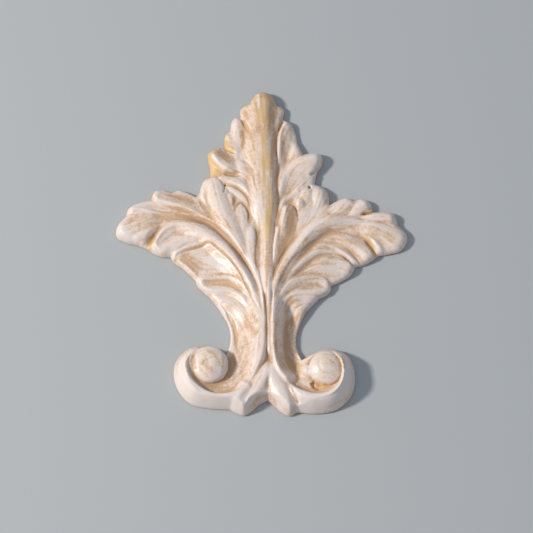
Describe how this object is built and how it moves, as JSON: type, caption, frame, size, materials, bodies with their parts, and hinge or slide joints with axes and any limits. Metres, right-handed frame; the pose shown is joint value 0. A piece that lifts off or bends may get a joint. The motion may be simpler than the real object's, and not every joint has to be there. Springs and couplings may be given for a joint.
{
  "type": "decorative furniture moulding",
  "caption": "Flexible cast fleur-de-lis moulding with three acanthus leaves, a fluted stem and two volutes around round bosses, flat on the back for gluing on.",
  "frame": {"origin": "middle of the flat back's bounding box, on the back itself", "axes": "+Z out of the back through the carved face, +Y from the feet towards the tip of the middle leaf, +X towards the right leaf as the face is seen"},
  "size_m": [0.0908, 0.1083, 0.0075],
  "materials": {
    "whitewash": "rubbed whitewash with a soft sheen over cream-yellow flexible resin"
  },
  "bodies": {
    "root": {"moulding": "whitewash"}
  },
  "joints": []
}
